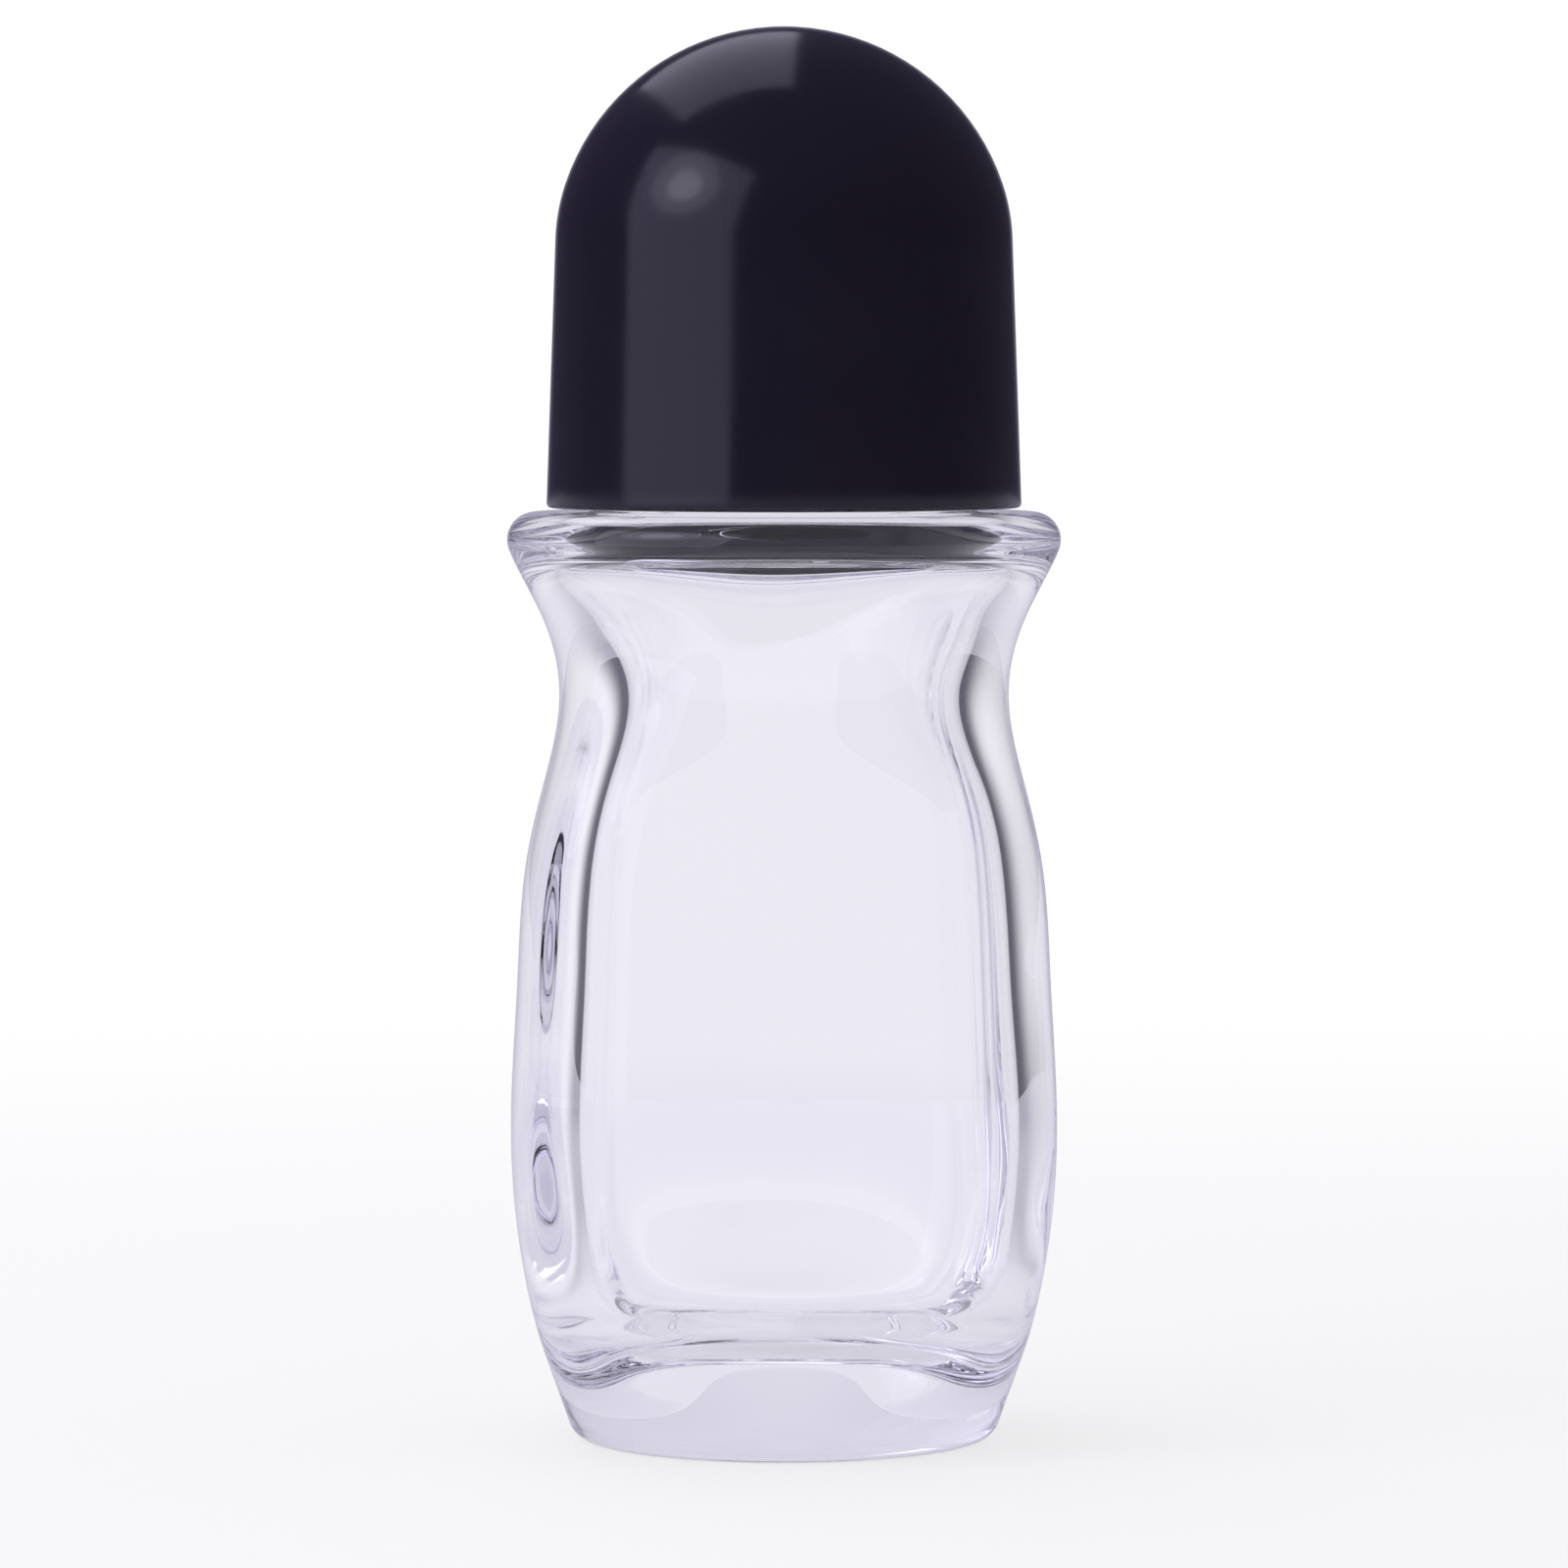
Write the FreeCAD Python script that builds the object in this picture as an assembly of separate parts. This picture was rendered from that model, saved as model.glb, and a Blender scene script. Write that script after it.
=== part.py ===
import FreeCAD, Part
import math
import os

# Glass roll-on bottle with a domed screw cap, closed and standing on its base.
# Millimetres. Z is up, the origin is the middle of the base, on the table.
# The front panel of the bottle faces -Y.

# Bottle body: round at the base and at the rim, four flat panels between them
base_radius = 13.9
heel_radius = 1.8
heel_lean = 19.0
belly_half_width = 19.65
waist_half_width = 16.2
rim_radius = 20.0
rim_height = 65.2
rim_bead_radius = 2.0
flare_lean = 22.0
push_up_radius = 9.8
push_up_depth = 0.9

# Outline of the body between the heel and the flare under the rim, one row a station:
# share of the height, share of the way between two widths, and corner reach.
# A corner reach of 1 is a round section, and a square one would have the root of 2.
flank_shares = (0.104, 0.519, 1.18)
lower_belly_shares = (0.2165, 0.864, 1.24)
belly_shares = (0.351, 1.0, 1.26)
chest_shares = (0.507, 0.87, 1.26)
upper_chest_shares = (0.653, 0.667, 1.255)
taper_shares = (0.743, 0.29, 1.25)
waist_shares = (0.845, 0.0, 1.21)
flare_shares = (0.922, 0.33, 1.08)
round_share = 1.0

# Inside of the bottle
wall = 2.9
base_glass = 7.5
floor_corner_run = 5.0
floor_corner_end = -18.0
floor_lean = 45.0
rim_wall = 4.6
shoulder_wall = 1.6
roof_corner_run = 4.0
cavity_floor_corner_share = 1.14
cavity_corner_share = 1.255
cavity_taper_corner_share = 1.25
cavity_waist_corner_share = 1.19
cavity_flare_corner_share = 1.05
floor_corner_rise_share = 0.6
roof_corner_rise_share = 0.7

# Neck and its thread
neck_wall = 2.2
neck_height = 11.0
neck_root_fillet = 0.6
neck_lip_radius = 0.7
thread_starts = 3
thread_pitch = 3.2
thread_depth = 0.7
thread_root_width = 1.5
thread_crest_width = 0.7
thread_turn = 160.0
thread_lift = 2.6
thread_sink = 0.3

# Roller ball, whose centre stands over the neck
ball_radius = 12.7
ball_wall = 1.6
ball_rise = 7.6

# Ball housing, a plug pressed into the neck
ball_clearance = 0.06
housing_wall = 0.74
housing_wall_rise = 0.6
plug_depth = 8.2
plug_wall = 2.45
plug_relief = 0.35
plug_squeeze = 0.05
plug_ring_height = 1.1
plug_ring_count = 3
plug_chamfer = 0.8
lip_grip = 1.2
lip_width = 0.9

# Cap liner, the threaded inner cap over the ball and its housing
housing_clearance = 0.4
ball_headroom = 1.35
liner_wall = 0.8
liner_sleeve_wall = 0.95
liner_inset = 0.4
liner_step_gap = 0.2
thread_clearance = 0.25
liner_thread_start = 30.0
liner_thread_turn = 120.0
lock_ring_radius = 7.0
lock_ring_width = 1.0
lock_ring_gap = 0.12

# Cap shell, the outer dome over the liner
liner_clearance = 0.05
liner_dome_gap = 0.3
cap_dome_wall = 1.5
cap_crown = 1.2
cap_seat_wall = 1.6
cap_seat_step = 0.55
cap_seat_height = 13.5
cap_foot_fillet = 0.35
cap_gap = 0.3
dome_flatness = 0.75
dome_side_share = 0.88

# One overrun serves every cut
overrun = 1.0

# How near two edges lie that count as one
same_place = 0.001

# How finely the curved outlines are followed
section_steps = 8
body_steps = 22
arc_steps = 5

# Directions, angles and the middle of a stretch
z_axis = FreeCAD.Vector(0, 0, 1)
full_turn = 360.0
quarters = 4
quarter_turn = full_turn / quarters
middle_share = 0.5

# Radii from the ball outwards through the housing and the liner to the cap
socket_radius = ball_radius + ball_clearance
housing_radius = socket_radius + housing_wall
liner_dome_radius = housing_radius + housing_clearance + liner_wall
shell_dome_radius = liner_dome_radius + liner_dome_gap
cap_radius = shell_dome_radius + cap_dome_wall
seat_radius = shell_dome_radius + cap_seat_step
cap_foot_radius = seat_radius + cap_seat_wall

# Radii from the liner inwards through the thread to the throat of the plug
sleeve_radius = seat_radius - liner_clearance
liner_root_radius = sleeve_radius - liner_sleeve_wall
neck_thread_radius = liner_root_radius - thread_clearance
neck_radius = neck_thread_radius - thread_depth
bore_radius = neck_radius - neck_wall
plug_radius = bore_radius - plug_relief
throat_radius = plug_radius - plug_wall

# Levels that several pieces share
shoulder_level = rim_height + rim_bead_radius
neck_top = shoulder_level + neck_height
thread_base_level = shoulder_level + thread_lift
thread_lead = thread_pitch * thread_starts
ball_level = neck_top + ball_rise
liner_top = ball_level + ball_radius + ball_headroom + liner_wall
cap_top = liner_top + liner_dome_gap + cap_crown
cap_dome_rise = cap_radius - dome_flatness
dome_level = cap_top - cap_dome_rise
cap_foot_level = shoulder_level + cap_gap
seat_level = cap_foot_level + cap_seat_height


def point(radius, level):
    """A point of a turned outline, in the plane of X and Z."""
    return FreeCAD.Vector(radius, 0, level)


def on_arc(centre, radius, degrees):
    """The point of an arc about a centre, measured from the outward direction."""
    turn = math.radians(degrees)
    return centre + point(radius * math.cos(turn), radius * math.sin(turn))


def line(start, end):
    return Part.LineSegment(start, end).toShape()


def arc(start, middle, end):
    return Part.Arc(start, middle, end).toShape()


def turned(edges):
    """Solid turned about Z from the edges of a closed outline, which may run either way round."""
    solid = Part.Face(Part.Wire(edges)).revolve(FreeCAD.Vector(), z_axis, full_turn)
    if solid.Volume < 0:
        solid.reverse()
    return solid


def outline(*points):
    """Straight edges through points, in order."""
    return [line(a, b) for a, b in zip(points, points[1:])]


def blend(start, end, share):
    return start + share * (end - start)


def round_edges(shape, radius, level):
    """Round edges about Z with this radius at this level."""
    found = []
    for edge in shape.Edges:
        if isinstance(edge.Curve, Part.Circle) and abs(edge.Curve.Radius - radius) < same_place:
            if abs(edge.Curve.Center.z - level) < same_place:
                found.append(edge)
    return found


def section(half_width, corner_reach, level):
    """Closed section of four conic quarters, round where the corner reach is the half width."""
    square_share = math.sqrt(2) * corner_reach / half_width
    fullness = (2 * (square_share - 1) / (2 - square_share)) ** 2
    quarter = []
    for step in range(section_steps + 1):
        turn = math.radians(quarter_turn * step / section_steps)
        out, across = math.cos(turn), math.sin(turn)
        slope = (fullness - 2) * (out + across)
        root = math.sqrt(slope ** 2 + 4 * (fullness - 1) * ((out + across) ** 2 - fullness * out * across))
        reach = half_width * 2 * (fullness - 1) / (slope + root)
        quarter.append(FreeCAD.Vector(reach * out, reach * across, level))
    curve = Part.BSplineCurve()
    marks = [step / section_steps for step in range(section_steps + 1)]
    leaving = FreeCAD.Vector(0, 1, 0)
    arriving = FreeCAD.Vector(-1, 0, 0)
    curve.interpolate(Points=quarter, Parameters=marks, InitialTangent=leaving, FinalTangent=arriving)
    edges = []
    for number in range(quarters):
        edge = curve.toShape()
        edge.rotate(FreeCAD.Vector(), z_axis, number * quarter_turn)
        edges.append(edge)
    return Part.Wire(edges)


def station(half_width, corner_share, level):
    """Half width, corner reach and level of one section, kept together as one vector."""
    return FreeCAD.Vector(half_width, half_width * corner_share, level)


def lofted(stations):
    """Solid through the sections of stations, from the lowest to the highest."""
    return Part.makeLoft([section(each.x, each.y, each.z) for each in stations], True, False)


def between(stations, first_tangent, last_tangent, steps):
    """Stations on a smooth line through a few given ones, without the two ends."""
    curve = Part.BSplineCurve()
    curve.interpolate(Points=stations, InitialTangent=first_tangent, FinalTangent=last_tangent)
    span = curve.LastParameter - curve.FirstParameter
    return [curve.value(curve.FirstParameter + span * step / steps) for step in range(1, steps)]


def round_arc(centre, run, rise, first_degrees, last_degrees):
    """Round stations along an arc, or along an ellipse where run and rise differ."""
    stations = []
    for step in range(arc_steps + 1):
        turn = math.radians(blend(first_degrees, last_degrees, step / arc_steps))
        stations.append(
            station(centre.x + run * math.cos(turn), round_share, centre.z + rise * math.sin(turn)))
    return stations


def lean(degrees):
    """Direction in which stations rise and widen, the corners as much as the sides."""
    turn = math.radians(degrees)
    return FreeCAD.Vector(math.sin(turn), math.sin(turn), math.cos(turn))


def dome(radius, rise, first_degrees):
    """Side arc and crown arc over the dome level, tangent to each other, up to the axis."""
    side_radius = dome_side_share * rise
    crown_radius = (radius ** 2 + rise ** 2 - 2 * radius * side_radius) / (2 * (rise - side_radius))
    side_centre = point(radius - side_radius, dome_level)
    crown_centre = point(0, dome_level + rise - crown_radius)
    meet_degrees = math.degrees(math.atan2(crown_radius - rise, radius - side_radius))
    side_middle = on_arc(side_centre, side_radius, blend(first_degrees, meet_degrees, middle_share))
    crown_middle = on_arc(crown_centre, crown_radius, blend(meet_degrees, quarter_turn, middle_share))
    start = on_arc(side_centre, side_radius, first_degrees)
    meet = on_arc(side_centre, side_radius, meet_degrees)
    top = point(0, dome_level + rise)
    return start, top, [arc(start, side_middle, meet), arc(meet, crown_middle, top)]


def thread_ridge(root_radius, crest_radius, level, start_degrees, turn_degrees):
    """One helical ridge from root to crest, sunk a little into the wall that carries it."""
    inward = 1 if root_radius > crest_radius else -1
    sunk_radius = root_radius + inward * thread_sink
    rise = thread_lead * turn_degrees / full_turn
    path = Part.makeHelix(thread_lead, rise, root_radius)
    half_root = thread_root_width / 2
    half_crest = thread_crest_width / 2
    corners = [
        point(sunk_radius, -half_root),
        point(root_radius, -half_root),
        point(crest_radius, -half_crest),
        point(crest_radius, half_crest),
        point(root_radius, half_root),
        point(sunk_radius, half_root),
    ]
    profile = Part.Wire(outline(*corners, corners[0]))
    ridge = Part.Wire(path).makePipeShell([profile], True, True)
    ridge.rotate(FreeCAD.Vector(), z_axis, start_degrees)
    ridge.translate(point(0, level))
    return ridge


# Body stations, shared by the outside of the glass and by the cavity
heel_centre = point(base_radius, heel_radius)
heel_top = on_arc(heel_centre, heel_radius, -heel_lean)
rim_centre = point(rim_radius - rim_bead_radius, rim_height)
flare_top = on_arc(rim_centre, rim_bead_radius, -flare_lean)


def body_station(shares, from_width, to_width):
    height_share, width_share, corner_share = shares
    level = blend(heel_top.z, flare_top.z, height_share)
    return station(blend(from_width, to_width, width_share), corner_share, level)


flank = body_station(flank_shares, heel_top.x, belly_half_width)
lower_belly = body_station(lower_belly_shares, heel_top.x, belly_half_width)
belly = body_station(belly_shares, heel_top.x, belly_half_width)
chest = body_station(chest_shares, waist_half_width, belly_half_width)
upper_chest = body_station(upper_chest_shares, waist_half_width, belly_half_width)
taper = body_station(taper_shares, waist_half_width, belly_half_width)
waist = body_station(waist_shares, waist_half_width, belly_half_width)
flare = body_station(flare_shares, waist_half_width, flare_top.x)


def make_body():
    """Outside of the glass: round heel, four panels, round rim bead, and the neck on top."""
    heel = round_arc(heel_centre, heel_radius, heel_radius, -quarter_turn, -heel_lean)
    rim = round_arc(rim_centre, rim_bead_radius, rim_bead_radius, -flare_lean, quarter_turn)
    guides = [heel[-1], flank, lower_belly, belly, chest, upper_chest, taper, waist, flare, rim[0]]
    panels = between(guides, lean(heel_lean), lean(flare_lean), body_steps)
    body = lofted(heel + panels + rim)
    neck = Part.makeCylinder(neck_radius, neck_top - rim_height, point(0, rim_height))
    body = body.fuse(neck).removeSplitter()
    body = body.makeFillet(neck_root_fillet, round_edges(body, neck_radius, shoulder_level))
    body = body.makeFillet(neck_lip_radius, round_edges(body, neck_radius, neck_top))
    push_up_sphere = (push_up_radius ** 2 + push_up_depth ** 2) / (2 * push_up_depth)
    return body.cut(Part.makeSphere(push_up_sphere, point(0, push_up_depth - push_up_sphere)))


def inset(each, corner_share):
    """The cavity's station behind a body station, one wall further in."""
    return station(each.x - wall, corner_share, each.z)


def make_cavity():
    """Inside of the bottle: rounded floor, panelled walls, round shoulder under a flat roof, and bore."""
    floor_corner_rise = floor_corner_rise_share * (lower_belly.z - base_glass)
    floor_centre = point(lower_belly.x - wall - floor_corner_run, base_glass + floor_corner_rise)
    floor = []
    corner = round_arc(floor_centre, floor_corner_run, floor_corner_rise, -quarter_turn, floor_corner_end)
    for each in corner:
        floor.append(station(each.x, cavity_floor_corner_share, each.z))
    roof_level = shoulder_level - shoulder_wall
    roof_corner_rise = roof_corner_rise_share * (roof_level - flare.z)
    roof_centre = point(flare_top.x - rim_wall - roof_corner_run, roof_level - roof_corner_rise)
    roof = round_arc(roof_centre, roof_corner_run, roof_corner_rise, 0, quarter_turn)
    guides = [
        floor[-1],
        inset(lower_belly, cavity_corner_share),
        inset(belly, cavity_corner_share),
        inset(chest, cavity_corner_share),
        inset(upper_chest, cavity_corner_share),
        inset(taper, cavity_taper_corner_share),
        inset(waist, cavity_waist_corner_share),
        inset(flare, cavity_flare_corner_share),
        roof[0],
    ]
    walls = between(guides, lean(floor_lean), lean(0), body_steps)
    hollow = lofted(floor + walls + roof)
    bore = Part.makeCylinder(bore_radius, neck_top + overrun - roof_centre.z, point(0, roof_centre.z))
    return hollow.fuse(bore)


def make_glass_bottle():
    ridges = []
    for start in range(thread_starts):
        start_degrees = full_turn * start / thread_starts
        ridges.append(
            thread_ridge(neck_radius, neck_thread_radius, thread_base_level, start_degrees, thread_turn))
    return make_body().fuse(ridges).cut(make_cavity())


def make_roller_ball():
    """Hollow moulded ball."""
    centre = point(0, ball_level)
    ball = Part.makeSphere(ball_radius, centre)
    return ball.cut(Part.makeSphere(ball_radius - ball_wall, centre))


def make_ball_housing():
    """Plug with sealing rings, a flange on the neck and a socket that holds the ball."""
    plug_foot = neck_top - plug_depth
    lip_radius = socket_radius - lip_grip
    lip_level = ball_level + math.sqrt(socket_radius ** 2 - lip_radius ** 2)
    throat_level = ball_level - math.sqrt(socket_radius ** 2 - throat_radius ** 2)
    wall_top = ball_level + housing_wall_rise
    lip_edge = point(lip_radius, lip_level)
    lip_back = point(lip_radius + lip_width, lip_level)
    wall_end = point(housing_radius, wall_top)

    bend_run = housing_radius - lip_back.x
    bend_rise = lip_level - wall_top
    bend_radius = (bend_run ** 2 + bend_rise ** 2) / (2 * bend_run)
    bend_degrees = math.degrees(math.asin(bend_rise / bend_radius))
    bend_centre = point(housing_radius - bend_radius, wall_top)
    bend_middle = on_arc(bend_centre, bend_radius, middle_share * bend_degrees)

    throat_edge = point(throat_radius, throat_level)
    throat_foot = point(throat_radius, plug_foot)
    edges = outline(
        throat_foot,
        point(plug_radius - plug_chamfer / 2, plug_foot),
        point(plug_radius, plug_foot + plug_chamfer),
        point(plug_radius, neck_top),
        point(housing_radius, neck_top),
        wall_end,
    )
    edges.append(arc(wall_end, bend_middle, lip_back))
    edges.append(line(lip_back, lip_edge))
    edges.append(arc(lip_edge, point(socket_radius, ball_level), throat_edge))
    edges.append(line(throat_edge, throat_foot))
    housing = turned(edges)

    ring_step = (plug_depth - plug_chamfer) / (plug_ring_count + 1)
    for ring in range(plug_ring_count):
        level = plug_foot + plug_chamfer + (ring + 1) * ring_step
        foot = point(plug_radius, level - plug_ring_height / 2)
        top = point(plug_radius, level + plug_ring_height / 2)
        crest = point(bore_radius + plug_squeeze, level)
        housing = housing.fuse(turned([arc(foot, crest, top), line(top, foot)]))
    return housing


def make_cap_shell():
    """Outer dome with a drafted skirt and a straight seat for the liner."""
    draft = math.degrees(math.atan((cap_foot_radius - cap_radius) / (dome_level - cap_foot_level)))
    crown_start, crown_top, crown = dome(cap_radius, cap_dome_rise, draft)
    inner_start, inner_top, inner = dome(shell_dome_radius, cap_dome_rise - cap_crown, 0)
    foot_centre = point(cap_foot_radius - cap_foot_fillet, cap_foot_level + cap_foot_fillet)
    foot = on_arc(foot_centre, cap_foot_fillet, -quarter_turn)
    foot_middle = on_arc(foot_centre, cap_foot_fillet, -middle_share * quarter_turn)
    foot_side = on_arc(foot_centre, cap_foot_fillet, 0)
    edges = [arc(foot, foot_middle, foot_side), line(foot_side, crown_start)]
    edges += crown + [line(crown_top, inner_top)] + inner[::-1]
    edges += outline(
        inner_start,
        point(shell_dome_radius, seat_level),
        point(seat_radius, seat_level),
        point(seat_radius, cap_foot_level),
        foot,
    )
    return turned(edges)


def make_cap_liner():
    """Inner cap: threaded sleeve, closed dome and the ring that keeps the ball on its seat."""
    sleeve_foot = cap_foot_level + liner_inset
    sleeve_top = seat_level - liner_step_gap
    outer_rise = liner_top - dome_level
    outer_start, outer_top, outer = dome(liner_dome_radius, outer_rise, 0)
    inner_start, inner_top, inner = dome(liner_dome_radius - liner_wall, outer_rise - liner_wall, 0)
    cone_foot = point(liner_root_radius, sleeve_top - liner_wall)
    cone_top = point(inner_start.x, sleeve_top + liner_wall)
    edges = outline(
        cone_top,
        cone_foot,
        point(liner_root_radius, sleeve_foot),
        point(sleeve_radius, sleeve_foot),
        point(sleeve_radius, sleeve_top),
        point(liner_dome_radius, sleeve_top),
        outer_start,
    )
    edges += outer + [line(outer_top, inner_top)] + inner[::-1] + [line(inner_start, cone_top)]
    liner = turned(edges)

    ridges = []
    crest_radius = liner_root_radius - thread_depth
    level = thread_base_level - thread_pitch / 2 + thread_lead * liner_thread_start / full_turn
    for start in range(thread_starts):
        start_degrees = full_turn * start / thread_starts + liner_thread_start
        ridges.append(
            thread_ridge(liner_root_radius, crest_radius, level, start_degrees, liner_thread_turn))

    ring_outer = lock_ring_radius + lock_ring_width
    ring_foot = ball_level + math.sqrt(ball_radius ** 2 - lock_ring_radius ** 2) + lock_ring_gap
    ring_height = liner_top - ring_foot
    ring = Part.makeCylinder(ring_outer, ring_height, point(0, ring_foot))
    ring = ring.cut(Part.makeCylinder(lock_ring_radius, ring_height, point(0, ring_foot)))
    dome_foot = point(0, dome_level)
    dome_block = turned(outer + [line(outer_top, dome_foot), line(dome_foot, outer_start)])
    return liner.fuse(ridges + [ring.common(dome_block)])


def export(name, shape):
    solid = shape.removeSplitter()
    print(name, len(solid.Solids), "solid", round(solid.Volume), "mm3", solid.isValid())
    solid.exportStep("parts/" + name + ".step")


os.makedirs("parts", exist_ok=True)
export("glass_bottle", make_glass_bottle())
export("ball_housing", make_ball_housing())
export("roller_ball", make_roller_ball())
export("cap_shell", make_cap_shell())
export("cap_liner", make_cap_liner())
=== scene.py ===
# %% [markdown]
# # A glass roll-on bottle
# This lesson dresses a small cosmetic bottle: a clear glass body with four gentle panels, and a glossy black
# screw cap that hides a roller ball. The construction comes in as a fixed frame of solids, each at its real
# size. Here the glass and the cap are made again as fine smooth meshes, and every surface gets its finish.
# All sizes are written in millimetres and brought to metres by one factor.

# %% Load the frame
import math

import bmesh
import bpy
import numpy as np
from mathutils import Matrix, Vector, noise


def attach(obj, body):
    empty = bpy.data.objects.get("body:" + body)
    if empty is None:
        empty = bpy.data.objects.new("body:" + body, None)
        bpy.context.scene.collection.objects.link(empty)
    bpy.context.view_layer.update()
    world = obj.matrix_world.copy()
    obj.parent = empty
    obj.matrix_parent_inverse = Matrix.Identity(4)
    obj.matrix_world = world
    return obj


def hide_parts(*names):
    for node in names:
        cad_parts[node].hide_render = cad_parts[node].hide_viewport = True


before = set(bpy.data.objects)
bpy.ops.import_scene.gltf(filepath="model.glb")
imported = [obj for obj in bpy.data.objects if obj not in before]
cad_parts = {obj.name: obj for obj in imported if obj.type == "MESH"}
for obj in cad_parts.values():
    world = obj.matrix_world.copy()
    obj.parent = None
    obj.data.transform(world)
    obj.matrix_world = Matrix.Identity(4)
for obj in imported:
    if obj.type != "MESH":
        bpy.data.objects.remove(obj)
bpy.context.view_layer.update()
mm = 0.001

# %% [markdown]
# ## One line that every turned piece starts from
# A bottle and a cap are turned shapes, so each begins as half of its outline. A row of that outline holds a
# half width, a corner reach and a level. Where the corner reach equals the half width the section is round,
# and a longer reach pushes its four corners out towards a square. Arcs are written as arcs, and the long wavy
# flank is a smooth cubic line through a few rows, because straight runs between them would show as facets in
# the glass.


# %% Outline helpers
def row(half_width, level, corner_share=1.0):
    return np.array([half_width, half_width * corner_share, level])


def arc_rows(centre, run, rise, first_degrees, last_degrees, steps, corner_share=1.0):
    """Rows along an arc about a centre, measured from the outward direction."""
    rows = []
    for step in range(steps + 1):
        turn = math.radians(first_degrees + (last_degrees - first_degrees) * step / steps)
        across = centre[0] + run * math.cos(turn)
        rows.append(row(across, centre[1] + rise * math.sin(turn), corner_share))
    return rows


def straight_rows(first, last, steps):
    return [first + (last - first) * step / steps for step in range(steps + 1)]


def leaning(degrees):
    """Unit direction in which rows rise and widen, the corners as much as the sides."""
    turn = math.radians(degrees)
    direction = np.array([math.sin(turn), math.sin(turn), math.cos(turn)])
    return direction / np.linalg.norm(direction)


def smooth_rows(rows, first_direction, last_direction, steps):
    """Rows on the smooth cubic line that passes through a few given ones."""
    rows = np.array(rows)
    gaps = np.linalg.norm(np.diff(rows, axis=0), axis=1)
    places = np.concatenate([[0], np.cumsum(gaps)])
    count = len(rows)
    matrix = np.zeros((count, count))
    sides = np.zeros_like(rows)
    matrix[0, 0] = matrix[-1, -1] = 1
    sides[0], sides[-1] = first_direction, last_direction
    for i in range(1, count - 1):
        before, after = gaps[i - 1], gaps[i]
        matrix[i, i - 1:i + 2] = after, 2 * (before + after), before
        rise_before = (rows[i] - rows[i - 1]) / before
        rise_after = (rows[i + 1] - rows[i]) / after
        sides[i] = 3 * (after * rise_before + before * rise_after)
    slopes = np.linalg.solve(matrix, sides)
    line = []
    for place in np.linspace(0, places[-1], steps + 1):
        i = min(int(np.searchsorted(places, place, side="right")) - 1, count - 2)
        share = (place - places[i]) / gaps[i]
        start = (1 + 2 * share) * (1 - share) ** 2 * rows[i] + share * (1 - share) ** 2 * gaps[i] * slopes[i]
        end = share ** 2 * (3 - 2 * share) * rows[i + 1] + share ** 2 * (share - 1) * gaps[i] * slopes[i + 1]
        line.append(start + end)
    return line


def blend(start, end, share):
    return start + share * (end - start)


print("outline helpers ready")

# %% [markdown]
# ## The outside of the glass
# Seen from above, the base and the rim are round, and the body between them is a soft square whose panels
# swell at the belly and draw in at the waist. A mould does this with four flat plaques between two turned
# ends. A box with its edges rounded would give straight flanks, so the outline is written as rows instead.
# The heel and the rim bead are arcs, and the flank is the smooth line between them. Each row of the flank
# says how far up it stands, how far between two widths, and how far its corners reach.

# %% Heel and rim
base_radius, heel_radius, heel_lean, heel_steps = 13.9, 1.8, 19.0, 10
rim_radius, rim_height, rim_bead_radius, rim_steps = 20.0, 65.2, 2.0, 22
flare_lean = 22.0
shoulder_level = rim_height + rim_bead_radius

heel = arc_rows((base_radius, heel_radius), heel_radius, heel_radius, -90, -heel_lean, heel_steps)
rim_centre = (rim_radius - rim_bead_radius, rim_height)
rim = arc_rows(rim_centre, rim_bead_radius, rim_bead_radius, -flare_lean, 90, rim_steps)
heel_half_width, flare_half_width = heel[-1][0], rim[0][0]
print("shoulder at", shoulder_level, "mm")

# %% Wavy panels
belly_half_width, waist_half_width, panel_steps = 19.65, 16.2, 130


def body_row(height_share, width_share, corner_share, from_width, to_width):
    level = blend(heel[-1][2], rim[0][2], height_share)
    return row(blend(from_width, to_width, width_share), level, corner_share)


flank = body_row(0.104, 0.519, 1.18, heel_half_width, belly_half_width)
lower_belly = body_row(0.2165, 0.864, 1.24, heel_half_width, belly_half_width)
belly = body_row(0.351, 1.0, 1.26, heel_half_width, belly_half_width)
chest = body_row(0.507, 0.87, 1.26, waist_half_width, belly_half_width)
upper_chest = body_row(0.653, 0.667, 1.255, waist_half_width, belly_half_width)
taper = body_row(0.743, 0.29, 1.25, waist_half_width, belly_half_width)
waist = body_row(0.845, 0.0, 1.21, waist_half_width, belly_half_width)
flare = body_row(0.922, 0.33, 1.08, waist_half_width, flare_half_width)

panel_guides = [heel[-1], flank, lower_belly, belly, chest, upper_chest, taper, waist, flare, rim[0]]
panels = smooth_rows(panel_guides, leaning(heel_lean), leaning(flare_lean), panel_steps)
print("panels:", len(panels), "rows")

# %% [markdown]
# ## The push-up
# Under the base the mould presses in a shallow dome, so that the bottle stands on a ring and doesn't rock.
# It is an arc with a soft step round its edge, and the step is what shows through the thick floor as a pair
# of small marks.

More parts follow.
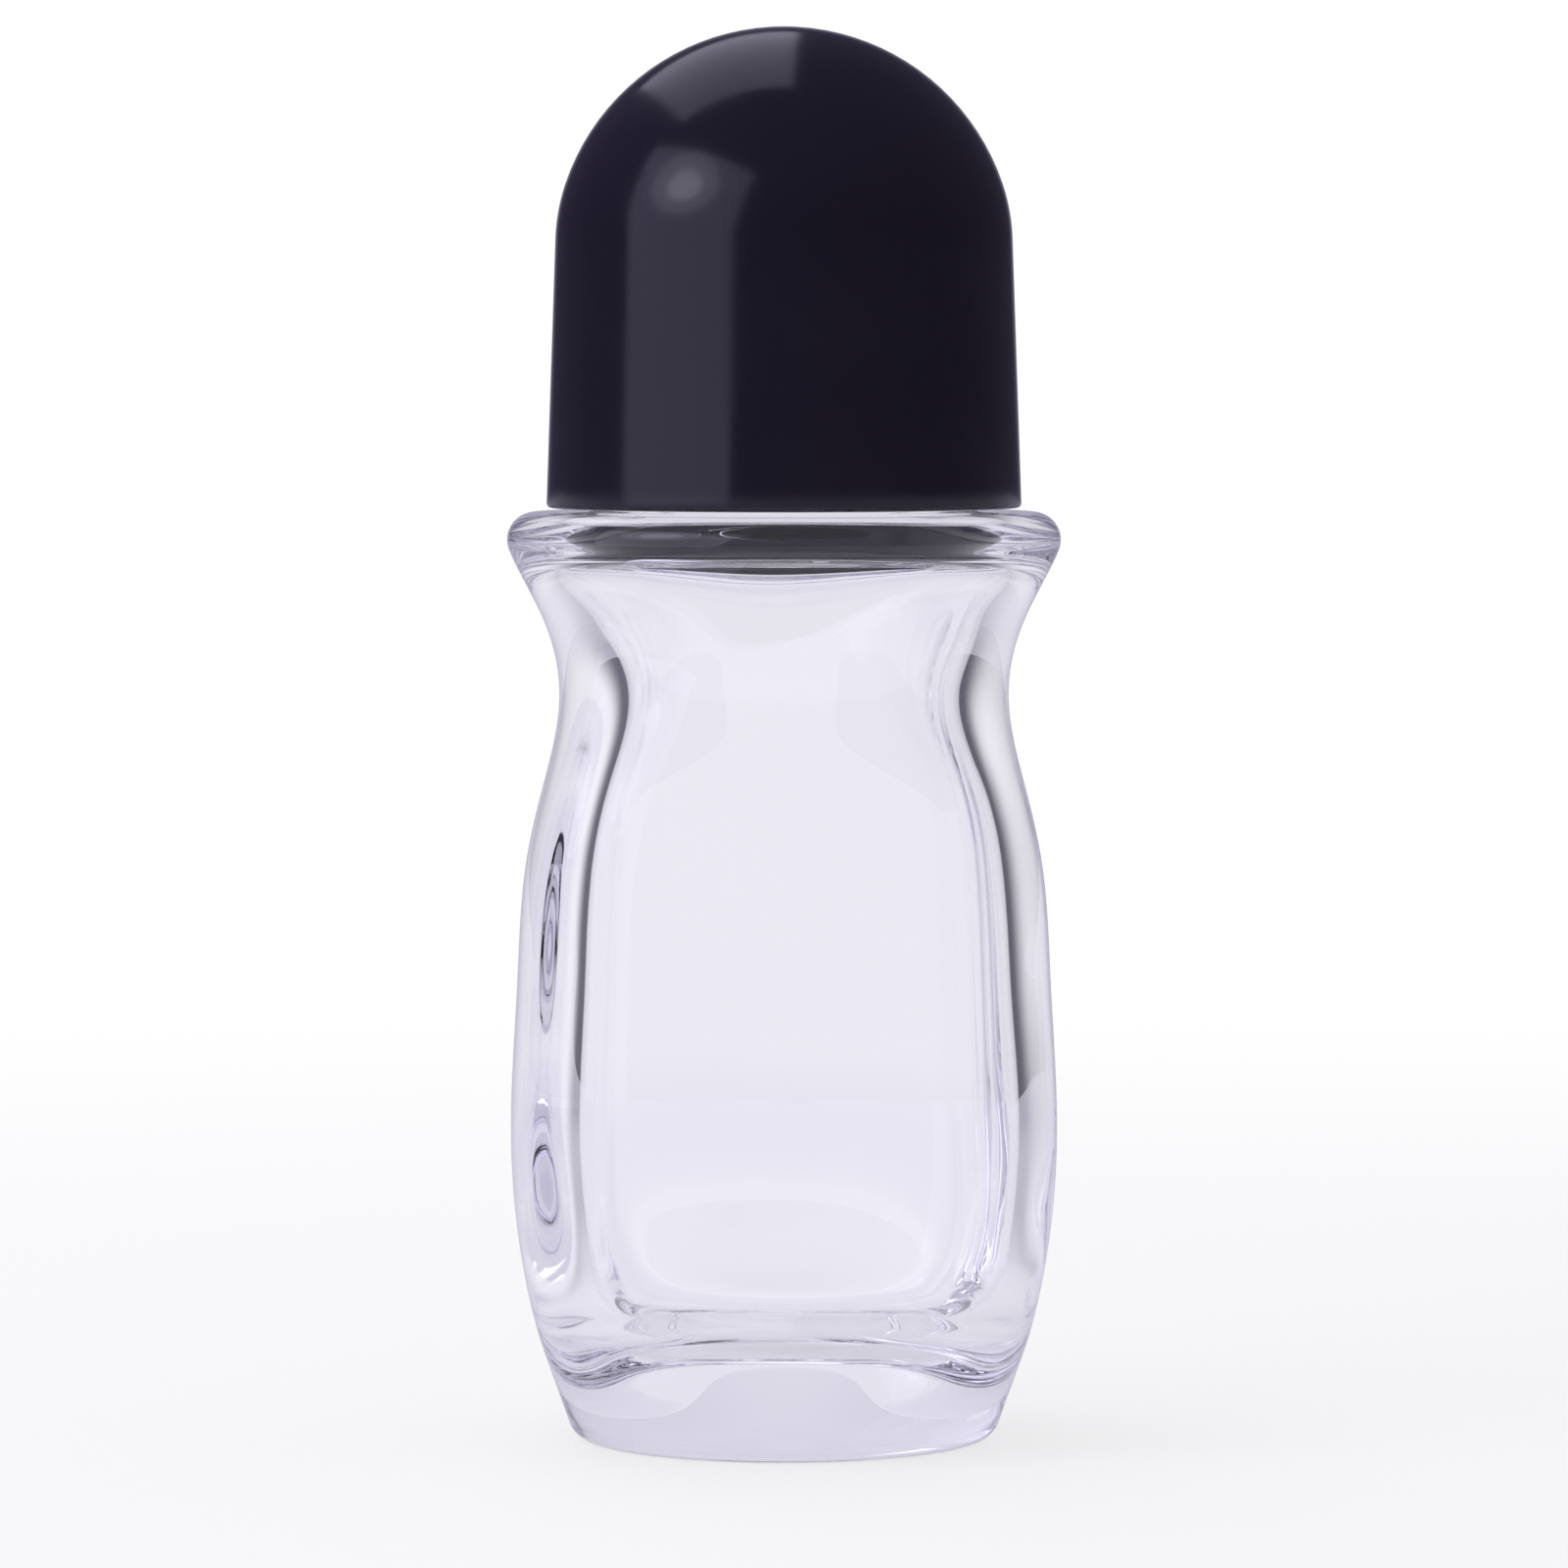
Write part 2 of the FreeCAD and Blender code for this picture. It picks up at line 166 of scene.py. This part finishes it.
# %% Push-up, and the whole outside
push_up_radius, push_up_depth, push_up_dome, push_up_steps = 9.0, 0.9, 0.4, 14
push_up_edge, push_up_edge_steps = 0.9, 8
push_up_step = push_up_depth - push_up_dome
push_up_sphere = (push_up_radius ** 2 + push_up_dome ** 2) / (2 * push_up_dome)
push_up_degrees = math.degrees(math.asin(push_up_radius / push_up_sphere))
push_up_centre = (0, push_up_depth - push_up_sphere)
push_up = arc_rows(
    push_up_centre, push_up_sphere, push_up_sphere, 90, 90 - push_up_degrees, push_up_steps)
for step in range(1, push_up_edge_steps + 1):
    wave = math.cos(math.pi * step / push_up_edge_steps)
    across = push_up_radius + push_up_edge * step / push_up_edge_steps
    push_up.append(row(across, push_up_step * (1 + wave) / 2))
outside = push_up + heel + panels[1:-1] + rim
print("outside of the glass:", len(outside), "rows, widest", round(max(r[0] for r in outside), 2), "mm")

# %% [markdown]
# ## The neck
# Above the shoulder the glass turns into a plain round neck. It will carry a screw thread of three short
# ridges, so that the cap comes off in half a turn. The rows are packed closely here, because the ridges are
# raised out of them later by moving vertices outwards.

# %% Rows of the neck
neck_radius, neck_height, neck_root_fillet, neck_lip_radius = 13.6, 11.0, 0.6, 0.7
neck_root_steps, neck_steps, neck_lip_steps = 5, 60, 6
neck_top = shoulder_level + neck_height
neck_root = arc_rows(
    (neck_radius + neck_root_fillet, shoulder_level + neck_root_fillet),
    neck_root_fillet, neck_root_fillet, 270, 180, neck_root_steps)
neck_lip = arc_rows(
    (neck_radius - neck_lip_radius, neck_top - neck_lip_radius),
    neck_lip_radius, neck_lip_radius, 0, 90, neck_lip_steps)
neck = neck_root + straight_rows(neck_root[-1], neck_lip[0], neck_steps)[1:-1] + neck_lip
print("neck:", len(neck), "rows, top at", round(neck[-1][2], 2), "mm")

# %% [markdown]
# ## The hollow
# The inside follows the outside one wall further in. The floor is thick and flat with a rounded edge, and the
# roof under the shoulder is flat too, with a tight corner of its own. A Solidify modifier would give one even
# wall, but it is the inside, more than the outside, that draws the lines one sees in clear glass, so it gets
# rows of its own: where its corners turn away, they mirror the dark sides of the room.

# %% Floor and roof of the hollow
wall, base_glass, bore_radius = 2.9, 7.5, 11.4
floor_corner_run, floor_corner_share, floor_corner_height_share, floor_corner_end = 5.0, 1.14, 0.6, -18
rim_wall, shoulder_wall, roof_corner_run, roof_corner_height_share, roof_corner_end = 3.6, 1.6, 2.0, 0.28, 87
floor_steps, floor_corner_steps, roof_corner_steps, bore_steps = 10, 12, 16, 20
roof_level = shoulder_level - shoulder_wall
floor_corner_rise = floor_corner_height_share * (lower_belly[2] - base_glass)
roof_corner_rise = roof_corner_height_share * (roof_level - flare[2])

floor_centre = (lower_belly[0] - wall - floor_corner_run, base_glass + floor_corner_rise)
floor_corner = arc_rows(
    floor_centre, floor_corner_run, floor_corner_rise, -90, floor_corner_end, floor_corner_steps,
    floor_corner_share)
floor = straight_rows(row(0, base_glass), floor_corner[0], floor_steps)
roof_centre = (flare_half_width - rim_wall - roof_corner_run, roof_level - roof_corner_rise)
roof_corner = arc_rows(
    roof_centre, roof_corner_run, roof_corner_rise, 0, roof_corner_end, roof_corner_steps)
bore = straight_rows(row(bore_radius, roof_level), row(bore_radius, neck_top), bore_steps)
print("floor at", base_glass, "mm, roof at", round(roof_level, 2), "mm")

# %% Wall of the hollow
floor_lean, roof_lean, hollow_steps = 45, 8, 130


def inset(outer, corner_share):
    return row(outer[0] - wall, outer[2], corner_share)


hollow_guides = [
    floor_corner[-1],
    inset(lower_belly, 1.23),
    inset(belly, 1.255),
    inset(chest, 1.255),
    inset(upper_chest, 1.255),
    inset(taper, 1.25),
    inset(waist, 1.16),
    inset(flare, 1.05),
    roof_corner[0],
]
hollow_wall = smooth_rows(hollow_guides, leaning(floor_lean), leaning(roof_lean), hollow_steps)
hollow = floor + floor_corner[1:] + hollow_wall[1:] + roof_corner[1:]
print("hollow:", len(hollow), "rows, from", base_glass, "to", round(hollow[-1][2], 2), "mm")

# %% [markdown]
# ## From rows to a mesh
# The whole outline goes once round the glass: out from the middle of the base, up the outside, over the lip
# of the neck and down the hollow to the middle of its floor. One spin turns it into a closed skin. Then each
# vertex moves straight out from the axis until it lies on the squared section of its row, which is a conic in
# each quarter, the same curve that rounds the corners of the solid.

# %% Spin helpers
same_place, on_the_line = 0.0005, 0.001


def spun(rows, columns):
    """Bmesh of an outline in millimetres, turned once round the Z axis."""
    mesh = bmesh.new()
    line = [mesh.verts.new((half_width, 0, level)) for half_width, _, level in rows]
    edges = [mesh.edges.new(pair) for pair in zip(line, line[1:])]
    bmesh.ops.spin(
        mesh, geom=line + edges, cent=(0, 0, 0), axis=(0, 0, 1), dvec=(0, 0, 0),
        angle=2 * math.pi, steps=columns, use_merge=True, use_normal_flip=False, use_duplicate=False)
    bmesh.ops.remove_doubles(mesh, verts=mesh.verts, dist=same_place)
    return mesh


def section_reach(turn, corner_share):
    """How far a squared section reaches at an angle, in half widths: a conic in each quarter."""
    square = math.sqrt(2) * corner_share
    fullness = (2 * (square - 1) / (2 - square)) ** 2
    out, across = abs(math.cos(turn)), abs(math.sin(turn))
    slope = (fullness - 2) * (out + across)
    root = math.sqrt(slope ** 2 + 4 * (fullness - 1) * ((out + across) ** 2 - fullness * out * across))
    return 2 * (fullness - 1) / (slope + root)


def finished_piece(mesh, name, body, slot, *nodes):
    """Object in metres from a bmesh in millimetres, which rides on a body and stands for nodes."""
    bmesh.ops.recalc_face_normals(mesh, faces=mesh.faces)
    bmesh.ops.scale(mesh, vec=(mm, mm, mm), verts=mesh.verts)
    data = bpy.data.meshes.new(name)
    mesh.to_mesh(data)
    mesh.free()
    data.shade_smooth()
    piece = bpy.data.objects.new(name, data)
    bpy.context.collection.objects.link(piece)
    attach(piece, body)
    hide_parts(*nodes)
    print(name, "has", len(data.polygons), "faces")
    return piece


print("spin helpers ready")

# %% Turn the glass and square its panels
glass_columns = 160
glass_rows = outside + neck + bore[::-1][1:] + hollow[::-1]
glass_mesh = spun(glass_rows, glass_columns)
glass_profile = np.array(glass_rows)
first_hollow_row = len(glass_rows) - len(hollow)
hollow_verts = []
for vertex in glass_mesh.verts:
    half_width = vertex.co.xy.length
    away = np.abs(glass_profile[:, 0] - half_width) + np.abs(glass_profile[:, 2] - vertex.co.z)
    nearest = int(np.argmin(away))
    if nearest >= first_hollow_row:
        hollow_verts.append(vertex)
    if half_width > on_the_line:
        corner_share = glass_profile[nearest, 1] / glass_profile[nearest, 0]
        reach = section_reach(math.atan2(vertex.co.y, vertex.co.x), corner_share)
        vertex.co.xy *= reach
print("glass skin:", len(glass_mesh.verts), "vertices,", len(hollow_verts), "in the hollow")

# %% [markdown]
# ## The thread
# Three ridges wind up the neck, each a trapezoid in section that runs out at both ends. A separate ridge
# swept along a helix would have to be joined to the glass, and the seam would show through it. So they are
# raised by moving the neck's vertices outwards wherever a ridge passes.

# %% Raise the thread
thread_starts, thread_lead, thread_turn, thread_base = 3, 9.6, 160.0, 69.8
thread_depth, thread_root, thread_crest, thread_fade = 0.7, 1.5, 0.7, 7.0


def ridge_height(turn_degrees, level):
    """How far the thread stands out of the neck at an angle and a level."""
    best = 0.0
    for start in range(thread_starts):
        turned_by = (turn_degrees - 360 * start / thread_starts) % 360
        if turned_by > thread_turn:
            continue
        off = abs(level - thread_base - thread_lead * turned_by / 360)
        side = (thread_root / 2 - off) / ((thread_root - thread_crest) / 2)
        end = min(turned_by, thread_turn - turned_by) / thread_fade
        best = max(best, thread_depth * min(max(side, 0), 1) * min(end, 1))
    return best


raised = 0
for vertex in glass_mesh.verts:
    across = vertex.co.xy.length
    if abs(across - neck_radius) < on_the_line and neck_root[-1][2] < vertex.co.z < neck_lip[0][2]:
        height = ridge_height(math.degrees(math.atan2(vertex.co.y, vertex.co.x)), vertex.co.z)
        vertex.co.xy *= (across + height) / across
        raised += height > 0
print("thread vertices raised:", raised)

# %% [markdown]
# ## The swell of the hollow
# The hollow was blown with air, not pressed by a tool, so its wall is never quite even: it sits a few degrees
# twisted against the outside, and a slow swell of a fraction of a millimetre bends the reflections in it.
# That is why the lines in the glass differ on the left and on the right. A bump in the material bends light
# too, but it leaves the exported mesh even, so the vertices themselves move.

# %% Let the hollow swell
hollow_twist = Matrix.Rotation(math.radians(3), 3, "Z")
swell_floor, swell_roof, swell_fade, still_middle = 8.5, 64.0, 6.0, 1
slow_swell, quick_swell = 0.25, 0.06


def swell_at(place, scale_across, scale_up, offset):
    return noise.noise(Vector((place.x * scale_across, place.y * scale_across, place.z * scale_up + offset)))


bmesh.ops.rotate(glass_mesh, verts=hollow_verts, cent=(0, 0, 0), matrix=hollow_twist)
for vertex in hollow_verts:
    across = vertex.co.xy.length
    fade = min((vertex.co.z - swell_floor) / swell_fade, (swell_roof - vertex.co.z) / swell_fade)
    fade = min(max(fade, 0), 1)
    if across > still_middle and fade > 0:
        slow = swell_at(vertex.co, 0.06, 0.03, 11)
        quick = swell_at(vertex.co, 0.2, 0.05, 3)
        vertex.co.xy *= (across + fade * (slow_swell * slow + quick_swell * quick)) / across
glass = finished_piece(glass_mesh, "bottle_glass", "bottle", "clear_glass", "glass_bottle")

# %% [markdown]
# ## The cap
# The cap is one moulded dome: a skirt that draws in a little towards the top, a tightly curved shoulder and a
# flatter crown. A half ball on a cylinder would look too round, so two arcs that are tangent to each other
# make the dome, and a reflection runs over it without a kink. Only its foot has an edge, which the mould
# leaves slightly rounded. Inside are the step on which the liner sits and a thinner dome.

# %% Dome helper
dome_level, dome_rise, dome_side_share = 86.4, 15.75, 0.88
dome_side_steps, dome_crown_steps = 28, 20


def dome_rows(radius, rise, first_degrees):
    """Rows up a side arc and over the flatter crown arc that follows it."""
    side_radius = dome_side_share * rise
    crown_radius = (radius ** 2 + rise ** 2 - 2 * radius * side_radius) / (2 * (rise - side_radius))
    meet = math.degrees(math.atan2(crown_radius - rise, radius - side_radius))
    side_centre = (radius - side_radius, dome_level)
    side = arc_rows(side_centre, side_radius, side_radius, first_degrees, meet, dome_side_steps)
    crown_centre = (0, dome_level + rise - crown_radius)
    crown = arc_rows(crown_centre, crown_radius, crown_radius, meet, 90, dome_crown_steps)
    return side + crown[1:]


print("dome from", dome_level, "to", dome_level + dome_rise, "mm")

# %% Make the cap shell
cap_radius, cap_foot_radius, cap_foot_level, cap_foot_fillet = 16.5, 17.15, 67.5, 0.35
seat_radius, seat_level, inner_dome_radius, crown_wall = 15.55, 81.0, 15.0, 1.2
cap_foot_steps, cap_skirt_steps, cap_seat_steps, cap_columns = 6, 14, 6, 144
sharp_from_degrees = 40

draft = math.degrees(math.atan((cap_foot_radius - cap_radius) / (dome_level - cap_foot_level)))
foot_centre = (cap_foot_radius - cap_foot_fillet, cap_foot_level + cap_foot_fillet)
cap_foot = arc_rows(foot_centre, cap_foot_fillet, cap_foot_fillet, -90, 0, cap_foot_steps)
cap_dome = dome_rows(cap_radius, dome_rise, draft)
inner_dome = dome_rows(inner_dome_radius, dome_rise - crown_wall, 0)
cap_skirt = straight_rows(cap_foot[-1], cap_dome[0], cap_skirt_steps)
cap_seat = straight_rows(row(seat_radius, cap_foot_level), row(seat_radius, seat_level), cap_seat_steps)
cap_step = [row(inner_dome_radius, seat_level)]
cap_rows = inner_dome[::-1] + cap_step + cap_seat[::-1] + cap_foot + cap_skirt[1:-1] + cap_dome
cap_mesh = spun(cap_rows, cap_columns)
cap = finished_piece(cap_mesh, "cap_dome", "cap", "cap_black", "cap_shell")
cap.data.set_sharp_from_angle(angle=math.radians(sharp_from_degrees))

# %% [markdown]
# ## Finishes
# Four substances are on this object. The glass is clear and smooth, with a breath of violet and the faint
# ripple of moulded glass. The cap is black plastic polished to a gloss, which shows a very fine orange peel.
# The plug and the liner are plain satin plastic, and the ball is gloss plastic that wear has dulled a little
# in places. Each is a Principled shader whose colour, roughness and bump come from noise in the object's own
# space, because a picture of scratches would need a seam.


# %% Node helpers
def node(tree, kind, values=(), **settings):
    """New node whose inputs get values or links, and whose settings come as keywords."""
    made = tree.nodes.new(kind)
    for name, value in settings.items():
        setattr(made, name, value)
    for name, value in dict(values).items():
        if isinstance(value, bpy.types.NodeSocket):
            tree.links.new(value, made.inputs[name])
        else:
            made.inputs[name].default_value = value
    return made


def mixed(tree, share, first, second):
    """Colour between two others."""
    return node(tree, "ShaderNodeMix", {0: share, 6: first, 7: second}, data_type="RGBA").outputs[2]


noise_low, noise_high = 0.25, 0.75


def cloud(tree, scale, low, high, detail=3.0):
    """Noise in object space, stretched to a range."""
    place = node(tree, "ShaderNodeTexCoord")
    grain = node(tree, "ShaderNodeTexNoise", {
        "Vector": place.outputs["Object"], "Scale": scale, "Detail": detail})
    spread = node(tree, "ShaderNodeMapRange", {
        "Value": grain.outputs[0], "From Min": noise_low, "From Max": noise_high,
        "To Min": low, "To Max": high})
    return spread.outputs["Result"]


bump_detail = 2.0


def finish_of(name, dark, light, colour_scale, rough_scale, rough, bump_scale, bump_height, constants):
    """Principled material with clouded colour, roughness and bump."""
    material = bpy.data.materials.new(name)
    material.use_nodes = True
    tree = material.node_tree
    shader = tree.nodes["Principled BSDF"]
    for socket, value in constants.items():
        shader.inputs[socket].default_value = value
    tone = mixed(tree, cloud(tree, colour_scale, 0, 1), (*dark, 1), (*light, 1))
    tree.links.new(tone, shader.inputs["Base Color"])
    tree.links.new(cloud(tree, rough_scale, *rough), shader.inputs["Roughness"])
    bump = node(tree, "ShaderNodeBump", {
        "Strength": 1.0, "Distance": bump_height, "Height": cloud(tree, bump_scale, 0, 1, bump_detail)})
    tree.links.new(bump.outputs["Normal"], shader.inputs["Normal"])
    return material


print("node helpers ready")

# %% Make the finishes
clear_glass = finish_of(
    "clear glass", dark=(0.972, 0.97, 0.982), light=(0.98, 0.978, 0.988), colour_scale=40,
    rough_scale=90, rough=(0.0, 0.012), bump_scale=110, bump_height=6e-6,
    constants={"Transmission Weight": 1.0, "IOR": 1.5})
glass_tree = clear_glass.node_tree
glass_depth = node(glass_tree, "ShaderNodeVolumeAbsorption", {"Color": (0.30, 0.27, 0.48, 1), "Density": 6.0})
glass_tree.links.new(glass_depth.outputs[0], glass_tree.nodes["Material Output"].inputs["Volume"])
gloss_black = finish_of(
    "gloss black", dark=(0.0125, 0.0100, 0.0215), light=(0.0145, 0.0118, 0.0245), colour_scale=60,
    rough_scale=140, rough=(0.13, 0.19), bump_scale=1100, bump_height=1.2e-6,
    constants={"IOR": 1.5})
satin_black = finish_of(
    "satin black", dark=(0.016, 0.014, 0.030), light=(0.023, 0.020, 0.042), colour_scale=120,
    rough_scale=300, rough=(0.32, 0.46), bump_scale=1600, bump_height=6e-6,
    constants={"IOR": 1.48, "Specular IOR Level": 0.3})
ball_black = finish_of(
    "ball black", dark=(0.012, 0.012, 0.015), light=(0.020, 0.019, 0.024), colour_scale=90,
    rough_scale=200, rough=(0.10, 0.22), bump_scale=900, bump_height=1.5e-6,
    constants={"IOR": 1.5})
print("finishes:", [m.name for m in (clear_glass, gloss_black, satin_black, ball_black)])

# %% Lay the finishes on
glass.data.materials.append(clear_glass)
cap.data.materials.append(gloss_black)
plain_nodes = {"ball_housing": satin_black, "cap_liner": satin_black, "roller_ball": ball_black}
for name, finish in plain_nodes.items():
    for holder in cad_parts[name].material_slots:
        holder.material = finish
print("finishes laid on", 2 + len(plain_nodes), "pieces")

# %% [markdown]
# ## The table
# The bottle stands on a white table in a white room, so the picture has no horizon: the table shines by
# itself as much as its own grey keeps back, and further away it is plain white. Close to the bottle it still
# takes the soft shadow. Seen through glass it is a little violet, and near the bottle it is painted darker
# there, a painted shadow seen through the glass. In gloss the table is painted dimmer than it shows
# straight on, a painted shade in its reflection. For light that was mirrored once in the glass it is painted
# darker towards both sides, a painted reflection of black cards that don't stand there.


# %% Light helpers
def light_kind(tree, *kinds):
    """One where a ray is of any of these kinds, zero elsewhere."""
    path = node(tree, "ShaderNodeLightPath")
    found = path.outputs[kinds[0]]
    for kind in kinds[1:]:
        either = node(tree, "ShaderNodeMath", {0: found, 1: path.outputs[kind]}, operation="MAXIMUM")
        found = either.outputs[0]
    return found


def ramp(tree, value, first, last):
    """Soft step from zero at the first value to one at the last."""
    step = node(tree, "ShaderNodeMapRange", {
        "Value": value, "From Min": first, "From Max": last}, interpolation_type="SMOOTHSTEP")
    return step.outputs["Result"]


def product(tree, first, second):
    return node(tree, "ShaderNodeMath", {0: first, 1: second}, operation="MULTIPLY").outputs[0]


def once_mirrored(tree, times=1.0, tolerance=0.5):
    """One where a ray was mirrored exactly once on its way, zero elsewhere."""
    path = node(tree, "ShaderNodeLightPath")
    return node(tree, "ShaderNodeMath", {
        0: path.outputs["Glossy Depth"], 1: times, 2: tolerance}, operation="COMPARE").outputs[0]


print("light helpers ready")

# %% Lay the table
table_size, table_drop = 2.0, 0.05 * mm
table_mesh = bmesh.new()
bmesh.ops.create_grid(table_mesh, x_segments=1, y_segments=1, size=table_size)
table_data = bpy.data.meshes.new("table")
table_mesh.to_mesh(table_data)
table_mesh.free()
table = bpy.data.objects.new("table", table_data)
table.location.z = -table_drop
bpy.context.collection.objects.link(table)
print("table laid,", 2 * table_size, "m across")

# %% Paint the table
table_grey, white = 0.3, (1, 1, 1, 1)
fade_start, fade_end = 0.12, 0.4
side_end, front_start = 0.3, 0.85
# painted reflection of black cards that aren't there: from here out, once-mirrored light through the glass
# sees the table darker towards both sides
side_shade_start, side_shade_end = 0.03, 0.08
# painted shade in reflections: gloss sees the table painted dimmer, and once-mirrored light sees it painted
# darker beside the bottle
painted_gloss_shade, painted_card_shade = (0.45, 0.43, 0.54, 1), (0.42, 0.41, 0.48, 1)
# painted shadow: seen through the glass, the table near the bottle is painted darker than further away
painted_shadow_glass_tint, far_glass_tint = (0.91, 0.895, 0.975, 1), (0.94, 0.93, 0.985, 1)

table_white = bpy.data.materials.new("table white")
table_white.use_nodes = True
tree = table_white.node_tree
tree.nodes.clear()
seen = light_kind(tree, "Is Camera Ray", "Is Transmission Ray", "Is Glossy Ray")
through = light_kind(tree, "Is Transmission Ray")
straight = light_kind(tree, "Is Camera Ray")
place = node(tree, "ShaderNodeTexCoord")
away = node(tree, "ShaderNodeVectorMath", {0: place.outputs["Object"]}, operation="LENGTH").outputs["Value"]
parts = node(tree, "ShaderNodeSeparateXYZ", {"Vector": place.outputs["Object"]})
along = node(tree, "ShaderNodeMath", {0: parts.outputs["Y"]}, operation="ABSOLUTE")
lean = node(tree, "ShaderNodeMath", {0: along.outputs[0], 1: away}, operation="DIVIDE")
at_side = ramp(tree, lean.outputs[0], front_start, side_end)
beside = product(tree, at_side, ramp(tree, away, side_shade_start, side_shade_end))
# painted shade mask: once-mirrored rays through the glass, beside the bottle
dimmed = product(tree, product(tree, once_mirrored(tree), through), beside)

# painted shade: for gloss the table is painted dimmer than the white it shows straight on
plain_tint = mixed(tree, straight, painted_gloss_shade, white)
# painted shade: the near table is painted darker through the glass, and darker beside the bottle for
# once-mirrored light
near_tint = mixed(tree, dimmed, mixed(tree, through, plain_tint, painted_shadow_glass_tint), painted_card_shade)
far_tint = mixed(tree, dimmed, mixed(tree, through, plain_tint, far_glass_tint), painted_card_shade)
grey = node(tree, "ShaderNodeBsdfDiffuse", {"Color": (table_grey, table_grey, table_grey, 1)})
near_glow = product(tree, seen, 1 - table_grey)
near_light = node(tree, "ShaderNodeEmission", {"Color": near_tint, "Strength": near_glow})
near_table = node(tree, "ShaderNodeAddShader", {0: grey.outputs[0], 1: near_light.outputs[0]})
far_table = node(tree, "ShaderNodeEmission", {"Color": far_tint, "Strength": seen})
whole_table = node(tree, "ShaderNodeMixShader", {
    0: ramp(tree, away, fade_start, fade_end), 1: near_table.outputs[0], 2: far_table.outputs[0]})
node(tree, "ShaderNodeOutputMaterial", {"Surface": whole_table.outputs[0]})
table.data.materials.append(table_white)
print("table painted, plain white from", fade_end, "m on")

# %% [markdown]
# ## The room
# Clear glass is drawn by what it mirrors. One even white would leave it without lines, and a dark room would
# spoil the white picture, so the room differs by the kind of light. It is white for the camera and for light
# that goes straight through the glass, a shade deeper overhead, and dark at both sides for light that was
# mirrored once in the glass. The gloss of the cap sees a dark room with a paler end behind it, which draws
# the thin light edge round its outline.

# %% Paint the room
ambient, back_white, side_dark = (0.6, 0.595, 0.63, 1), (0.94, 0.93, 0.985, 1), (0.11, 0.105, 0.135, 1)
through_white, overhead = (0.90, 0.89, 0.955, 1), (0.80, 0.785, 0.87, 1)
dark_gloss, edge_gloss = (0.060, 0.052, 0.086, 1), (0.38, 0.36, 0.47, 1)
climb_start, climb_end = 0.02, 0.35
edge_start, edge_end = 0.94, 1.0

room = bpy.data.worlds.new("room")
bpy.context.scene.world = room
room.use_nodes = True
tree = room.node_tree
path = node(tree, "ShaderNodeLightPath")
place = node(tree, "ShaderNodeTexCoord")
parts = node(tree, "ShaderNodeSeparateXYZ", {"Vector": place.outputs["Generated"]})
along = node(tree, "ShaderNodeMath", {0: parts.outputs["Y"]}, operation="ABSOLUTE")

inside_glass = mixed(tree, ramp(tree, along.outputs[0], side_end, front_start), side_dark, back_white)
straight_on = mixed(tree, ramp(tree, parts.outputs["Z"], climb_start, climb_end), through_white, overhead)
through_glass = mixed(tree, once_mirrored(tree), straight_on, inside_glass)
in_gloss = mixed(tree, ramp(tree, parts.outputs["Y"], edge_start, edge_end), dark_gloss, edge_gloss)
colour = mixed(tree, path.outputs["Is Glossy Ray"], ambient, in_gloss)
colour = mixed(tree, path.outputs["Is Transmission Ray"], colour, through_glass)
colour = mixed(tree, path.outputs["Is Camera Ray"], colour, white)
tree.links.new(colour, tree.nodes["Background"].inputs["Color"])
print("room painted")

# %% [markdown]
# ## Light
# A large soft box stands on the left and draws the long pale stripe down the cap. A small lamp with a
# brighter core adds the spot on the cap's shoulder, and a soft box above and behind lights the crown. Area
# lamps are used because gloss shows the shape of each one, and their violet tint is that of the picture.


# %% Set the lights
def soft_box(name, place, target, width, height, radiance, colour, shape="RECTANGLE"):
    light = bpy.data.lights.new(name, "AREA")
    light.shape = shape
    light.size, light.size_y = width, height
    light.energy = radiance * math.pi * width * height
    light.color = colour
    lamp = bpy.data.objects.new(name, light)
    lamp.location = place
    lamp.rotation_euler = (Vector(target) - Vector(place)).to_track_quat("-Z", "Y").to_euler()
    bpy.context.collection.objects.link(lamp)


cap_middle, cap_shoulder, behind_floor = (0, 0, 0.085), (0, 0, 0.088), (-0.19, 0.42, 0)
deep_violet, pale_violet, faint_violet = (0.76, 0.73, 1.0), (0.84, 0.82, 1.0), (0.9, 0.88, 1.0)
soft_box("left box", (-0.54, -0.38, 0.33), cap_middle, 0.82, 0.72, 0.88, deep_violet)
soft_box("shoulder lamp", (-0.47, -0.30, 0.42), cap_shoulder, 0.42, 0.36, 0.6, pale_violet, "ELLIPSE")
soft_box("shoulder lamp core", (-0.45, -0.29, 0.405), cap_shoulder, 0.2, 0.18, 1.2, faint_violet, "ELLIPSE")
soft_box("top box", (-0.19, 0.46, 0.6), behind_floor, 0.44, 0.88, 0.85, pale_violet)
print("lights set")

# %% [markdown]
# ## The camera
# The camera stands a little above the bottle with a long lens, as in a catalogue picture, so the sides stay
# upright. Light is mirrored many times inside thick glass, and each time counts as one bounce, so the limits
# on bounces are raised. Otherwise the corners of the glass would turn black.

# %% Set the camera
picture_width, sensor_width, glass_bounces = 113.5 * mm, 36, 32
camera_place, camera_target = Vector((0, -0.6, 0.08)), Vector((0, 0, 0.0475))
camera_data = bpy.data.cameras.new("camera")
camera_data.sensor_width = sensor_width
camera_data.lens = sensor_width * (camera_target - camera_place).length / picture_width
camera = bpy.data.objects.new("camera", camera_data)
camera.location = camera_place
camera.rotation_euler = (camera_target - camera_place).to_track_quat("-Z", "Y").to_euler()
bpy.context.collection.objects.link(camera)
scene = bpy.context.scene
scene.camera = camera
scene.view_settings.view_transform = "Standard"
scene.cycles.max_bounces = scene.cycles.glossy_bounces = scene.cycles.transmission_bounces = glass_bounces
print("camera lens", round(camera_data.lens, 1), "mm")
